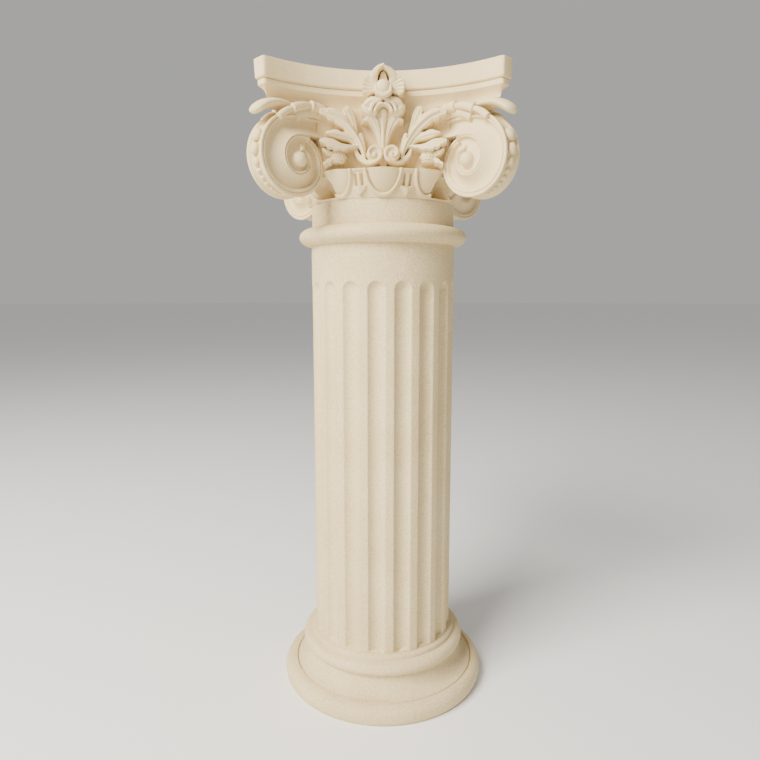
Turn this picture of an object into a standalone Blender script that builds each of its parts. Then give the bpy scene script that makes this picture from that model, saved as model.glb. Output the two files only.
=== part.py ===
# Display column in cast plaster: a round moulded base, a fluted shaft with its
# ring and neck, and a four-cornered capital of scrolls, leaves, eggs and darts.
# Metres, +Z up. The origin is the middle of the underside and the front faces -Y.

import bmesh
import bpy
from math import cos, hypot, pi, radians, sin, sqrt
from mathutils import Matrix, Vector

# Seat between two castings that touch.
SEAT_GAP = 0.0003
# Sides of plain turned work, and the closest distance that counts as one point.
TURNED_SIDES = 32
MERGE = 0.00001
# Bodies of one casting are joined over this much, or stand back by the second
# value, so that no two of their faces lie in one plane.
LAP = 0.0020
STEP_BACK = 0.0004

# Shaft
SHAFT_RADIUS = 0.1255
NECK_RADIUS = 0.1238
FLUTED_HEIGHT = 0.6359
COLLAR_HEIGHT = 0.0610
RING_HEIGHT = 0.0300
RING_REACH = 0.0209
NECK_HEIGHT = 0.0371
FLUTE_COUNT = 18
FLUTE_WIDTH = 0.0290
FLUTE_DEPTH = 0.0065
FIRST_FLUTE = radians(-5)

# Base: heights of its mouldings, and how far each stands out from the shaft.
LOWER_ROLL_HEIGHT = 0.0340
HOLLOW_HEIGHT = 0.0310
UPPER_ROLL_HEIGHT = 0.0235
SEAT_FILLET_HEIGHT = 0.0080
FOOT_REACH = 0.0525
LOWER_ROLL_REACH = 0.0590
LOWER_ROLL_SHOULDER = 0.0420
HOLLOW_REACH = 0.0130
UPPER_ROLL_REACH = 0.0235
SEAT_FILLET_REACH = 0.0085

# Capital: heights of its bands from the neck up.
EGG_BAND_HEIGHT = 0.0424
WALL_HEIGHT = 0.0938
COVE_HEIGHT = 0.0147
FILLET_HEIGHT = 0.0080
FASCIA_HEIGHT = 0.0300

# Capital: the slab on top, a square with hollow sides and cut corners.
SLAB_HALF_WIDTH = 0.1901
SLAB_CORNER_CUT = 0.0267
SLAB_MIDDLE_REACH = -0.0004
FASCIA_BATTER = 0.0015
FILLET_INSET = 0.0045

# Capital: the band of eggs and darts, measured out from the neck.
EGG_BAND_FOOT_REACH = 0.0015
EGG_BAND_TOP_REACH = 0.0185
EGG_RELIEF = 0.0048
EGG_HALF_WIDTH = 0.0250
EGG_RIM = 0.0060
SIDE_EGG_TURN = radians(32)
DART_TURN = radians(16.2)
ARCH_HALF_WIDTH = 0.0178
ARCH_LIP = 0.0038
ARCH_HEIGHT = 0.0290
ARCH_CROWN = 0.0175

# Capital: the four corner scrolls.
SCROLL_RADIUS = 0.0790
SCROLL_EYE_RADIUS = 0.0130
SCROLL_THICKNESS = 0.0370
SCROLL_OVERHANG = 0.0130
SCROLL_FLOOR_DEPTH = 0.0050
SCROLL_LIP = 0.0070
SCROLL_INNER_RISE = 0.0060
SCROLL_EYE_RISE = 0.0150
SCROLL_TURNS = 1.8

# Plaster as the photograph shows it.
PLASTER = {"colour": (0.74, 0.66, 0.52, 1.0), "roughness": 0.85, "metallic": 0.0}

# Levels that follow from the heights above.
BASE_HEIGHT = LOWER_ROLL_HEIGHT + HOLLOW_HEIGHT + UPPER_ROLL_HEIGHT + SEAT_FILLET_HEIGHT
SHAFT_FOOT = BASE_HEIGHT + SEAT_GAP
FLUTE_TOP = SHAFT_FOOT + FLUTED_HEIGHT
RING_FOOT = FLUTE_TOP + COLLAR_HEIGHT
NECK_FOOT = RING_FOOT + RING_HEIGHT
SHAFT_TOP = NECK_FOOT + NECK_HEIGHT
CAPITAL_FOOT = SHAFT_TOP + SEAT_GAP
EGG_BAND_TOP = CAPITAL_FOOT + EGG_BAND_HEIGHT
WALL_TOP = EGG_BAND_TOP + WALL_HEIGHT
COVE_TOP = WALL_TOP + COVE_HEIGHT
FILLET_TOP = COVE_TOP + FILLET_HEIGHT
SLAB_TOP = FILLET_TOP + FASCIA_HEIGHT

# The slab's hollow side is an arc about SIDE_CENTRE, out in front of the face.
SLAB_MIDDLE = NECK_RADIUS + SLAB_MIDDLE_REACH
CORNER_NEAR = SLAB_HALF_WIDTH - SLAB_CORNER_CUT / sqrt(2)
SIDE_SAG = SLAB_HALF_WIDTH - SLAB_MIDDLE
SIDE_RADIUS = (CORNER_NEAR ** 2 + SIDE_SAG ** 2) / (2 * SIDE_SAG)
SIDE_CENTRE = SLAB_MIDDLE + SIDE_RADIUS
# The cove runs in until the sides of its foot meet in a point under the cut corner.
COVE_INSET = hypot(CORNER_NEAR, SIDE_CENTRE - CORNER_NEAR) - SIDE_RADIUS
WALL_RADIUS = SIDE_RADIUS + COVE_INSET

# A scroll's eye, by its distance from the axis along the diagonal, and its height.
SCROLL_HALF = SCROLL_THICKNESS / 2
EYE_HEIGHT = WALL_TOP - SCROLL_RADIUS
SCROLL_SPAN = 2 * pi * SCROLL_TURNS


def scroll_radius(turn):
    """Distance from the eye to the scroll's edge after this angle from its top."""
    return SCROLL_EYE_RADIUS + (SCROLL_RADIUS - SCROLL_EYE_RADIUS) * (1 - turn / SCROLL_SPAN) ** 1.1


EYE_DISTANCE = (SLAB_HALF_WIDTH + CORNER_NEAR) / sqrt(2) + SCROLL_OVERHANG - scroll_radius(pi / 2)

# The carving on the wall is drawn in 94ths of the wall's height.
CARVE = WALL_HEIGHT / 94


# Scene and objects

def clear_scene():
    for thing in list(bpy.data.objects):
        bpy.data.objects.remove(thing)


def new_collection(name):
    found = bpy.data.collections.get(name) or bpy.data.collections.new(name)
    if name not in bpy.context.scene.collection.children:
        bpy.context.scene.collection.children.link(found)
    return found


def plaster(name):
    material = bpy.data.materials.new(name)
    material.use_nodes = True
    shader = material.node_tree.nodes["Principled BSDF"]
    shader.inputs["Base Color"].default_value = PLASTER["colour"]
    shader.inputs["Roughness"].default_value = PLASTER["roughness"]
    shader.inputs["Metallic"].default_value = PLASTER["metallic"]
    return material


def new_object(name, bm, collection):
    """Turn a bmesh into an object with its faces pointing out."""
    bmesh.ops.recalc_face_normals(bm, faces=bm.faces)
    mesh = bpy.data.meshes.new(name)
    bm.to_mesh(mesh)
    bm.free()
    thing = bpy.data.objects.new(name, mesh)
    collection.objects.link(thing)
    return thing


def as_cutter(thing):
    thing.hide_render = True
    thing.display_type = "WIRE"
    return thing


def turned(name, profile, sides, collection):
    """Turn a profile of (radius, height) points, listed from top to bottom, about Z."""
    mesh = bpy.data.meshes.new(name)
    corners = [(radius, 0.0, height) for radius, height in profile]
    mesh.from_pydata(corners, [(i, i + 1) for i in range(len(corners) - 1)], [])
    thing = bpy.data.objects.new(name, mesh)
    collection.objects.link(thing)
    screw = thing.modifiers.new("Turn", "SCREW")
    screw.steps = sides
    screw.render_steps = sides
    screw.use_merge_vertices = True
    screw.merge_threshold = MERGE
    return thing


def combine(thing, other, operation, solver="EXACT"):
    cut = thing.modifiers.new(other.name, "BOOLEAN")
    cut.operation = operation
    cut.object = other
    cut.solver = solver


def arc(centre, radii, start, end, steps):
    """Points on an elliptic arc, angles in degrees, from start to end."""
    points = []
    for i in range(steps + 1):
        angle = radians(start + (end - start) * i / steps)
        points.append((centre[0] + radii[0] * cos(angle), centre[1] + radii[1] * sin(angle)))
    return points


# Shapes made of rings of points

def loft(bm, rings):
    """A closed body through rings of equal point count, capped at both ends."""
    rows = [[bm.verts.new(point) for point in ring] for ring in rings]
    count = len(rows[0])
    for low, high in zip(rows, rows[1:]):
        for i in range(count):
            j = (i + 1) % count
            bm.faces.new((low[i], low[j], high[j], high[i]))
    bm.faces.new(rows[0])
    bm.faces.new(rows[-1])


def ball(bm, centre, radii, columns, rows, turn=0.0):
    """An egg shape with these radii, turned about Z."""
    matrix = Matrix.Translation(centre) @ Matrix.Rotation(turn, 4, "Z")
    matrix = matrix @ Matrix.Diagonal((radii[0], radii[1], radii[2], 1.0))
    bmesh.ops.create_uvsphere(bm, u_segments=columns, v_segments=rows, radius=1.0, matrix=matrix)


def mirror_left(bm):
    """Add the left half of a face's carving to its right half."""
    right = bm.verts[:] + bm.edges[:] + bm.faces[:]
    copy = bmesh.ops.duplicate(bm, geom=right)["geom"]
    points = [item for item in copy if isinstance(item, bmesh.types.BMVert)]
    bmesh.ops.scale(bm, verts=points, vec=(-1.0, 1.0, 1.0))


def on_four_sides(bm):
    """Repeat what stands on the front on the other three sides."""
    front = bm.verts[:] + bm.edges[:] + bm.faces[:]
    for side in (1, 2, 3):
        copy = bmesh.ops.duplicate(bm, geom=front)["geom"]
        points = [item for item in copy if isinstance(item, bmesh.types.BMVert)]
        bmesh.ops.rotate(bm, verts=points, cent=(0, 0, 0), matrix=Matrix.Rotation(side * pi / 2, 3, "Z"))


# Base

def base_profile():
    foot = SHAFT_RADIUS + FOOT_REACH
    belly = SHAFT_RADIUS + LOWER_ROLL_REACH
    shoulder = SHAFT_RADIUS + LOWER_ROLL_SHOULDER
    throat = SHAFT_RADIUS + HOLLOW_REACH
    upper = SHAFT_RADIUS + UPPER_ROLL_REACH
    seat = SHAFT_RADIUS + SEAT_FILLET_REACH
    belly_height = LOWER_ROLL_HEIGHT / 2
    hollow_top = LOWER_ROLL_HEIGHT + HOLLOW_HEIGHT
    roll_top = hollow_top + UPPER_ROLL_HEIGHT
    roll_middle = hollow_top + UPPER_ROLL_HEIGHT / 2
    profile = [(0.0, BASE_HEIGHT), (seat, BASE_HEIGHT), (seat, roll_top)]
    profile += arc((throat, roll_middle), (upper - throat, UPPER_ROLL_HEIGHT / 2), 65, -90, 4)
    profile += arc((shoulder, hollow_top), (shoulder - throat, HOLLOW_HEIGHT), 205, 270, 2)
    profile += arc((shoulder, belly_height), (belly - shoulder, belly_height), 60, 0, 2)
    profile += arc((foot, belly_height), (belly - foot, belly_height), -30, -90, 2)
    profile += [(0.0, 0.0)]
    return profile


def make_base(parts):
    return turned("base", base_profile(), TURNED_SIDES, parts)


# Shaft

def shaft_profile():
    ring = SHAFT_RADIUS + RING_REACH
    ring_middle = RING_FOOT + RING_HEIGHT / 2
    profile = [(0.0, SHAFT_TOP), (NECK_RADIUS, SHAFT_TOP)]
    profile += arc((NECK_RADIUS, ring_middle), (ring - NECK_RADIUS, RING_HEIGHT / 2), 90, 0, 3)
    profile += arc((SHAFT_RADIUS, ring_middle), (ring - SHAFT_RADIUS, RING_HEIGHT / 2), -30, -90, 2)
    profile += [(SHAFT_RADIUS, FLUTE_TOP), (SHAFT_RADIUS, SHAFT_FOOT), (0.0, SHAFT_FOOT)]
    return profile


def flute_cutter(cutters):
    """Round-ended rods that hollow the flutes, set out round the shaft."""
    half = FLUTE_WIDTH / 2
    radius = (half ** 2 + FLUTE_DEPTH ** 2) / (2 * FLUTE_DEPTH)
    sides = 16
    bm = bmesh.new()
    spring = FLUTE_TOP - half
    profile = [(0.0, spring + radius)] + arc((0.0, spring), (radius, radius), 60, 0, 2)
    profile += [(radius, SHAFT_FOOT - FLUTE_DEPTH), (0.0, SHAFT_FOOT - FLUTE_DEPTH)]
    points = [bm.verts.new((r, 0.0, z)) for r, z in profile]
    lines = [bm.edges.new(pair) for pair in zip(points, points[1:])]
    bmesh.ops.spin(bm, geom=points + lines, cent=(0, 0, 0), axis=(0, 0, 1), angle=2 * pi,
                   steps=sides, use_merge=True)
    bmesh.ops.remove_doubles(bm, verts=bm.verts, dist=MERGE)
    # A side's corner, and not its flat, lies deepest in the flute.
    bmesh.ops.translate(bm, verts=bm.verts, vec=(0, -(SHAFT_RADIUS + radius - FLUTE_DEPTH), 0))
    rod = bm.verts[:] + bm.edges[:] + bm.faces[:]
    bmesh.ops.rotate(bm, verts=bm.verts, cent=(0, 0, 0), matrix=Matrix.Rotation(FIRST_FLUTE, 3, "Z"))
    for count in range(1, FLUTE_COUNT):
        copy = bmesh.ops.duplicate(bm, geom=rod)["geom"]
        moved = [item for item in copy if isinstance(item, bmesh.types.BMVert)]
        turn = Matrix.Rotation(count * 2 * pi / FLUTE_COUNT, 3, "Z")
        bmesh.ops.rotate(bm, verts=moved, cent=(0, 0, 0), matrix=turn)
    return as_cutter(new_object("flutes", bm, cutters))


def make_shaft(parts, cutters):
    sides = 3 * FLUTE_COUNT
    shaft = turned("shaft", shaft_profile(), sides, parts)
    combine(shaft, flute_cutter(cutters), "DIFFERENCE")
    return shaft


# Capital: core, wall and slab

def egg_band_radius(height):
    """Ground of the egg band at this height, leaning out as it rises."""
    share = (height - CAPITAL_FOOT) / EGG_BAND_HEIGHT
    return NECK_RADIUS + EGG_BAND_FOOT_REACH + (EGG_BAND_TOP_REACH - EGG_BAND_FOOT_REACH) * share


def egg_band(parts):
    middle = CAPITAL_FOOT + EGG_BAND_HEIGHT / 2
    profile = [(0.0, EGG_BAND_TOP), (egg_band_radius(EGG_BAND_TOP), EGG_BAND_TOP)]
    profile += [(egg_band_radius(middle), middle), (egg_band_radius(CAPITAL_FOOT), CAPITAL_FOOT)]
    profile += [(0.0, CAPITAL_FOOT)]
    return turned("capital", profile, TURNED_SIDES, parts)


def hollow_square(inset, reach, height, steps):
    """Outline of a square with hollow sides, its corners cut at reach along x."""
    radius = SIDE_RADIUS + inset
    outline = []
    for side in range(4):
        turn = Matrix.Rotation(side * pi / 2, 3, "Z")
        for i in range(steps + 1):
            x = reach * (2 * i / steps - 1)
            y = -(SIDE_CENTRE - sqrt(radius ** 2 - x ** 2))
            outline.append(turn @ Vector((x, y, height)))
    return outline


def wall_corner():
    """Where the wall's arc meets the flank of a scroll, by its x."""
    gap = sqrt(2) * SCROLL_HALF
    middle = SIDE_CENTRE - gap
    return (middle - sqrt(2 * WALL_RADIUS ** 2 - middle ** 2)) / 2


def slab_and_wall(carving):
    """The wall of the bell, the slab's cove and fillet, and its tall fascia."""
    steps = 6
    wall = bmesh.new()
    corner = wall_corner()
    loft(wall, [hollow_square(COVE_INSET, corner, height, steps)
                for height in (EGG_BAND_TOP - LAP, WALL_TOP + LAP)])
    slab = bmesh.new()
    # The cove is hollow: halfway up it has gone out by much less than half of its reach.
    middle = WALL_TOP + COVE_HEIGHT / 2
    middle_inset = FILLET_INSET + (COVE_INSET - FILLET_INSET) * sqrt(0.5)
    levels = [(COVE_INSET, CORNER_NEAR - STEP_BACK, WALL_TOP), (middle_inset, CORNER_NEAR, middle),
              (FILLET_INSET, CORNER_NEAR, COVE_TOP), (FILLET_INSET, CORNER_NEAR, FILLET_TOP)]
    loft(slab, [hollow_square(inset, reach, height, steps) for inset, reach, height in levels])
    fascia = bmesh.new()
    levels = [(FASCIA_BATTER, CORNER_NEAR, FILLET_TOP - STEP_BACK), (0.0, CORNER_NEAR, SLAB_TOP)]
    loft(fascia, [hollow_square(inset, reach, height, steps) for inset, reach, height in levels])
    new_object("wall", wall, carving)
    new_object("slab", slab, carving)
    new_object("fascia", fascia, carving)


def arch_cutter(cutters):
    """Round-topped hollows that stop the egg band under each scroll."""
    bm = bmesh.new()
    foot = CAPITAL_FOOT + ARCH_LIP
    depth = NECK_RADIUS - EGG_BAND_FOOT_REACH
    spring = foot + ARCH_HEIGHT - ARCH_CROWN
    outline = [(-ARCH_HALF_WIDTH, foot), (ARCH_HALF_WIDTH, foot)]
    outline += arc((0.0, spring), (ARCH_HALF_WIDTH, ARCH_CROWN), 0, 180, 6)
    turn = Matrix.Rotation(pi / 4, 3, "Z")
    rings = []
    for distance in (depth, 2 * NECK_RADIUS):
        rings.append([turn @ Vector((x, -distance, z)) for x, z in outline])
    loft(bm, rings)
    on_four_sides(bm)
    return as_cutter(new_object("arches", bm, cutters))


# Capital: eggs and darts

def on_band(across, height, relief):
    """A point on the egg band: across in metres round it from the front, and out by relief."""
    radius = egg_band_radius(height) + relief
    angle = across / egg_band_radius(EGG_BAND_TOP)
    return Vector((radius * sin(angle), -radius * cos(angle), height))


def egg(bm, turn):
    """The lower part of an egg, bulging from its shield."""
    middle = turn * egg_band_radius(EGG_BAND_TOP)
    drop = EGG_BAND_HEIGHT - EGG_RIM
    rings = []
    # Down from the top as a share of the drop, width as a share of the egg's, and bulge.
    for fall, share, bulge in ((0.02, 1.0, 1.5), (0.6, 0.86, 2.0), (1.0, 0.4, 1.2)):
        wide = EGG_HALF_WIDTH * share
        rings.append([on_band(middle + wide * across, EGG_BAND_TOP - drop * fall, EGG_RELIEF * out)
                      for across, out in ((-1.0, -1.0), (-0.6, bulge), (0.6, bulge), (1.0, -1.0))])
    loft(bm, rings)


def egg_rim(bm, turn):
    """A raised shield in the shape of a U, whose border shows round the egg."""
    steps = 6
    top = EGG_BAND_TOP - STEP_BACK
    wide = EGG_HALF_WIDTH + EGG_RIM
    drop = top - CAPITAL_FOOT - STEP_BACK
    middle = turn * egg_band_radius(EGG_BAND_TOP)
    outline = arc((middle, top), (wide, -drop), 180, 0, steps)
    loft(bm, [[on_band(across, height, relief) for across, height in outline]
              for relief in (-EGG_RELIEF, EGG_RELIEF)])


def dart(bm, turn):
    middle = turn * egg_band_radius(EGG_BAND_TOP)
    head = EGG_BAND_HEIGHT * 0.36
    half = EGG_HALF_WIDTH * 0.38
    stem = EGG_HALF_WIDTH * 0.12
    tip = CAPITAL_FOOT + STEP_BACK
    stations = [(tip, stem / 3), (tip + head, half), (tip + head * 1.1, stem),
                (EGG_BAND_TOP - EGG_RIM, stem)]
    rings = []
    for height, wide in stations:
        rings.append([on_band(middle + wide, height, -EGG_RELIEF), on_band(middle, height, EGG_RELIEF),
                      on_band(middle - wide, height, -EGG_RELIEF)])
    loft(bm, rings)


def eggs_and_darts(carving):
    eggs = bmesh.new()
    rims = bmesh.new()
    darts = bmesh.new()
    for turn in (-SIDE_EGG_TURN, 0.0, SIDE_EGG_TURN):
        egg(eggs, turn)
        egg_rim(rims, turn)
    for turn in (-DART_TURN, DART_TURN):
        dart(darts, turn)
    for name, bm in (("eggs", eggs), ("egg_rims", rims), ("darts", darts)):
        on_four_sides(bm)
        new_object(name, bm, carving)


# Capital: corner scrolls

def on_diagonal(distance, height, aside=0.0):
    """A point in the front right scroll, aside from its middle plane."""
    return Vector(((distance + aside) / sqrt(2), (-distance + aside) / sqrt(2), height))


def on_scroll(turn, radius, aside):
    return on_diagonal(EYE_DISTANCE + radius * sin(turn), EYE_HEIGHT + radius * cos(turn), aside)


def scroll_rise(turn):
    """Half the scroll's thickness, which steps out as it winds in like a snail."""
    return SCROLL_HALF + SCROLL_INNER_RISE * min(1.0, turn / (0.8 * SCROLL_SPAN))


def scroll_plates(carving):
    """The plate that carries a scroll, sunk below its lips and run back into the core."""
    bm = bmesh.new()
    half = SCROLL_HALF - SCROLL_FLOOR_DEPTH
    steps = 11
    start = radians(1)
    end = radians(275)
    edge = []
    for i in range(steps + 1):
        turn = start + (end - start) * i / steps
        radius = scroll_radius(turn) - SCROLL_LIP / 2
        edge.append((EYE_DISTANCE + radius * sin(turn), EYE_HEIGHT + radius * cos(turn)))
    root = EYE_DISTANCE - SCROLL_RADIUS
    edge += [(root, EYE_HEIGHT), (root, EYE_HEIGHT + SCROLL_RADIUS - SCROLL_LIP / 2)]
    loft(bm, [[on_diagonal(d, z, aside) for d, z in edge] for aside in (-half, half)])
    on_four_sides(bm)
    new_object("scroll_plates", bm, carving)


def scroll_lips(carving):
    """The raised lip that winds in to the eye on both faces of a scroll."""
    bm = bmesh.new()
    steps = 17
    start = radians(6)
    end = SCROLL_SPAN * 0.92
    rings = []
    for i in range(steps + 1):
        # The steps are shorter on the wide outer turn.
        turn = start + (end - start) * (i / steps) ** 1.3
        far = scroll_radius(turn)
        near = far - SCROLL_LIP * (1 - 0.4 * i / steps)
        rise = scroll_rise(turn)
        section = [(near, -rise), (far, -rise), (far, rise), (near, rise)]
        rings.append([on_scroll(turn, radius, aside) for radius, aside in section])
    loft(bm, rings)
    on_four_sides(bm)
    new_object("scroll_lips", bm, carving)


def scroll_eyes(carving):
    bm = bmesh.new()
    size = (SCROLL_EYE_RADIUS, SCROLL_HALF + SCROLL_EYE_RISE, SCROLL_EYE_RADIUS)
    ball(bm, on_diagonal(EYE_DISTANCE, EYE_HEIGHT), size, 6, 4, -pi / 4)
    on_four_sides(bm)
    new_object("scroll_eyes", bm, carving)


# Capital: leaves on the wall, drawn in CARVE units as across, up and out

def wall_distance(x):
    """How far in front of the axis the wall, or past it a scroll's flank, stands at x."""
    x = abs(x)
    corner = wall_corner()
    if x <= corner:
        return SIDE_CENTRE - sqrt(WALL_RADIUS ** 2 - x ** 2)
    return x + sqrt(2) * SCROLL_HALF


def on_wall(across, up, out):
    x = across * CARVE
    return Vector((x, -(wall_distance(x) + out * CARVE), EGG_BAND_TOP + up * CARVE))


def blade(bm, stations, section, buried):
    """A body along (across, up, out, half width), buried in the wall where its rise is None."""
    rings = []
    last = len(stations) - 1
    for i, (across, up, out, half) in enumerate(stations):
        before = stations[max(i - 1, 0)]
        after = stations[min(i + 1, last)]
        run = Vector((after[0] - before[0], after[1] - before[1]))
        run.normalize()
        side = (-run.y * half, run.x * half)
        ring = []
        for share, rise in section:
            stand = -buried if rise is None else out + rise * half
            ring.append(on_wall(across + side[0] * share, up + side[1] * share, stand))
        rings.append(ring)
    loft(bm, rings)


def ridge(bm, stations, buried):
    """A plain ridge with its two edges in the wall."""
    blade(bm, stations, ((1.0, None), (0.0, 0.5), (-1.0, None)), buried)


def frond(bm, stations, buried):
    """A crowned leaf that stands off the wall, on a wedge that runs back into it."""
    blade(bm, stations, ((1.0, -0.4), (0.0, 0.5), (-1.0, -0.4), (0.0, None)), buried)


def big_leaves(carving):
    outer = bmesh.new()
    frond(outer, [(24, 4, 30, 5), (42, 42, 27, 9), (70, 76, 26, 13), (94, 84, 21, 6)], 3)
    inner = bmesh.new()
    ridge(inner, [(23, 24, 20, 7), (38, 66, 24, 9), (52, 88, 26, 7)], 3)
    for name, bm in (("outer_leaves", outer), ("inner_leaves", inner)):
        mirror_left(bm)
        on_four_sides(bm)
        new_object(name, bm, carving)


def fan(carving):
    """The upright spray between the two curls, folded into three blades."""
    bm = bmesh.new()
    rings = []
    for up, out, half in ((20, 20, 4), (56, 27, 9), (82, 34, 22)):
        section = ((-1.0, -4), (-0.65, 2), (-0.3, -2), (0.0, 4), (0.3, -2), (0.65, 2), (1.0, -4))
        ring = [on_wall(half * share, up - abs(share) * half * 0.4, out + rise) for share, rise in section]
        ring.append(on_wall(0, up, -3))
        rings.append(ring)
    loft(bm, rings)
    on_four_sides(bm)
    new_object("fans", bm, carving)


def hood(carving):
    """The leaf that turns over under the flower."""
    bm = bmesh.new()
    centre = on_wall(0, 88, 30)
    ball(bm, centre, (31 * CARVE, 18 * CARVE, 13 * CARVE), 6, 5)
    on_four_sides(bm)
    new_object("hoods", bm, carving)


def flower(carving):
    """A five-petalled flower with a bud, on the middle of each side of the slab."""
    petals = 5
    centre_height = FILLET_TOP - FILLET_HEIGHT / 2
    reach = FASCIA_HEIGHT + FILLET_HEIGHT / 2 - STEP_BACK
    back = SLAB_MIDDLE - FILLET_INSET * 2
    face = SLAB_MIDDLE + 22 * CARVE
    blossom = bmesh.new()
    rings = []
    for distance, share in ((back, 0.8), (face, 1.0)):
        ring = []
        for i in range(2 * petals):
            angle = pi * i / petals + pi / 2
            radius = reach * share * (1.0 if i % 2 == 0 else 0.78)
            ring.append(Vector((radius * cos(angle), -distance, centre_height + radius * sin(angle))))
        rings.append(ring)
    loft(blossom, rings)
    on_four_sides(blossom)
    new_object("flowers", blossom, carving)
    buds = bmesh.new()
    ball(buds, (0, -face, centre_height), (reach * 0.30, 10 * CARVE, reach * 0.30), 6, 4)
    on_four_sides(buds)
    new_object("flower_buds", buds, carving)


def curls(carving):
    """The pair of tight curls that stand on the egg band."""
    bm = bmesh.new()
    radius = 13 * CARVE
    depth = 22 * CARVE
    front = egg_band_radius(EGG_BAND_TOP) - 3 * CARVE
    centre = Vector((16.5 * CARVE, -(front - depth / 2), EGG_BAND_TOP + radius - 2 * CARVE))
    matrix = Matrix.Translation(centre) @ Matrix.Rotation(pi / 2, 4, "X")
    bmesh.ops.create_cone(bm, cap_ends=True, segments=8, radius1=radius * 0.8, radius2=radius,
                          depth=depth, matrix=matrix)
    mirror_left(bm)
    on_four_sides(bm)
    new_object("curls", bm, carving)


def side_sprays(carving):
    """A pod-shaped leaf on each side, springing from the big leaf's foot."""
    bm = bmesh.new()
    ridge(bm, [(37, 30, 20, 3), (66, 37, 26, 8), (91, 46, 14, 3)], 3)
    mirror_left(bm)
    on_four_sides(bm)
    new_object("side_sprays", bm, carving)


def stalks(carving):
    """The stem that runs from each big leaf along the top of the scroll's channel."""
    bm = bmesh.new()
    ridge(bm, [(88, 86, 9, 6), (120, 85, 7, 6), (147, 68, 4, 4)], 6)
    mirror_left(bm)
    on_four_sides(bm)
    new_object("stalks", bm, carving)


def corner_tongues(carving):
    """The leaf that hangs over each scroll under the slab's corner."""
    bm = bmesh.new()
    rings = []
    # Along the diagonal from the eye, up from the eye, half width and thickness, in CARVE units.
    for out, up, half, thick in ((0, 76, 16, 7), (34, 72, 18, 7), (66, 53, 6, 4)):
        distance = EYE_DISTANCE + out * CARVE
        height = EYE_HEIGHT + up * CARVE
        under = height - thick * CARVE
        rings.append([on_diagonal(distance, under, half * CARVE), on_diagonal(distance, height, 0.0),
                      on_diagonal(distance, under, -half * CARVE),
                      on_diagonal(distance - thick * CARVE, under - thick * CARVE, 0.0)])
    loft(bm, rings)
    on_four_sides(bm)
    new_object("corner_tongues", bm, carving)


def make_capital(parts, cutters, carving):
    """One casting: the egg band as its core, then all that is carved on and above it."""
    capital = egg_band(parts)
    slab_and_wall(carving)
    scroll_plates(carving)
    scroll_lips(carving)
    scroll_eyes(carving)
    big_leaves(carving)
    fan(carving)
    hood(carving)
    flower(carving)
    curls(carving)
    side_sprays(carving)
    stalks(carving)
    corner_tongues(carving)
    band = bpy.data.collections.new("egg_band_carving")
    carving.children.link(band)
    eggs_and_darts(band)
    # The exact solver drops parts of this much carving, so the other one joins it.
    for piece in band.objects:
        combine(capital, as_cutter(piece), "UNION", "MANIFOLD")
    combine(capital, arch_cutter(cutters), "DIFFERENCE", "MANIFOLD")
    for piece in carving.objects:
        combine(capital, as_cutter(piece), "UNION", "MANIFOLD")
    return capital


def main():
    clear_scene()
    parts = new_collection("display_column")
    cutters = new_collection("cutters")
    carving = bpy.data.collections.new("capital_carving")
    cutters.children.link(carving)
    for piece in (make_base(parts), make_shaft(parts, cutters), make_capital(parts, cutters, carving)):
        piece.data.materials.append(plaster(piece.name + "_plaster"))


main()
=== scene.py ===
import math

import bmesh
import bpy
import numpy
from mathutils import Matrix, Vector, noise


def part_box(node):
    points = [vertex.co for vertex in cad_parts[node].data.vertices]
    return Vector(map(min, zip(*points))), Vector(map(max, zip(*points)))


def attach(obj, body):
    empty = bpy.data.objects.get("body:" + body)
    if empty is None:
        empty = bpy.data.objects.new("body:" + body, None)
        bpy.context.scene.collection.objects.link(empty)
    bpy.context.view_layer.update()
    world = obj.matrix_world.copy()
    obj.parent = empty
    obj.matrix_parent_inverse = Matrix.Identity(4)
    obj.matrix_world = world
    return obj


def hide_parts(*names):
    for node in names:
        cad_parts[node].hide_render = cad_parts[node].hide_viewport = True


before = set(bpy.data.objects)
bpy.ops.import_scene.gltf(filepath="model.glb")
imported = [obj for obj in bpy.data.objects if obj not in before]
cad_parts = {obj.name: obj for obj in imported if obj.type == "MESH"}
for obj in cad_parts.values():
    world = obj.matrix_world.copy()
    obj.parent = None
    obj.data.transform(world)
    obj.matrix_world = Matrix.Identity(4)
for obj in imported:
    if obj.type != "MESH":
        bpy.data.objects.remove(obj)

# The looks of a display column in cast plaster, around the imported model's base, shaft and capital.
# Metres, +Z up, the front faces -Y.

print("frame loaded:", sorted(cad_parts))
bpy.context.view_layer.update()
baseLow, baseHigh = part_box("base")
shaftLow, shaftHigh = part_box("shaft")
capitalLow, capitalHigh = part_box("capital")
mm = 0.001
mergeDistance = 0.00001


# Helpers

def addModule(name):  # a new collection, so that the outliner reads by part
    made = bpy.data.collections.new(name)
    bpy.context.scene.collection.children.link(made)
    return made


def arcPoints(centre, radii, start, end, steps):  # angles in degrees, from start to end
    points = []
    for i in range(steps + 1):
        angle = math.radians(start + (end - start) * i / steps)
        points.append((centre[0] + radii[0] * math.cos(angle), centre[1] + radii[1] * math.sin(angle)))
    return points


def smoothPath(points, steps):  # a smooth curve through points of any number of values
    points = [numpy.array(point, dtype=float) for point in points]
    padded = [2 * points[0] - points[1]] + points + [2 * points[-1] - points[-2]]
    path = []
    for before, start, end, after in zip(padded, padded[1:], padded[2:], padded[3:]):
        for i in range(steps):
            t = i / steps
            square = 2 * before - 5 * start + 4 * end - after
            cube = 3 * start - before - 3 * end + after
            path.append(0.5 * (2 * start + (end - before) * t + square * t ** 2 + cube * t ** 3))
    path.append(points[-1])
    return path


def smoothStep(low, high, value):  # 0 below low, 1 above high, smooth between
    share = min(1.0, max(0.0, (value - low) / (high - low)))
    return share * share * (3 - 2 * share)


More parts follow.
